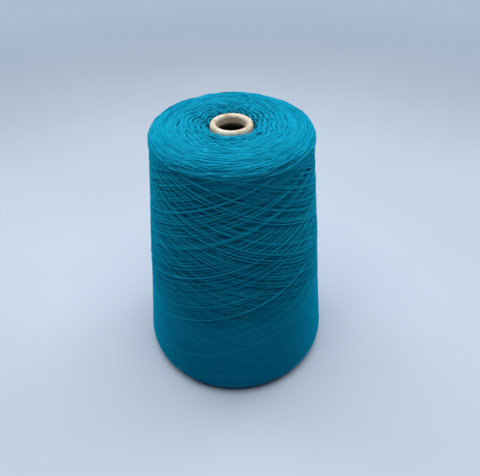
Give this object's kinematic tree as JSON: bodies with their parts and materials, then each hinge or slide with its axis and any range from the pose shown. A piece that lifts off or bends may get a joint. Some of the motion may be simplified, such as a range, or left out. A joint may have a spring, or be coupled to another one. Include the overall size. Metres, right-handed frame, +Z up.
{
  "type": "cone of knitting yarn",
  "caption": "Cross-wound cone of teal yarn on a tapered paper former with a rolled-in nose; stands on its large end and feeds yarn over the nose.",
  "frame": {"origin": "on the cone's axis, at the foot of the paper cone", "axes": "+Z up along the axis, from the foot to the nose; X and Y are any two square directions of a round part"},
  "size_m": [0.1698, 0.1698, 0.23],
  "materials": {
    "paper": "matte",
    "yarn": "matte"
  },
  "bodies": {
    "root": {"paper_cone": "paper", "yarn_package": "yarn"}
  },
  "joints": []
}
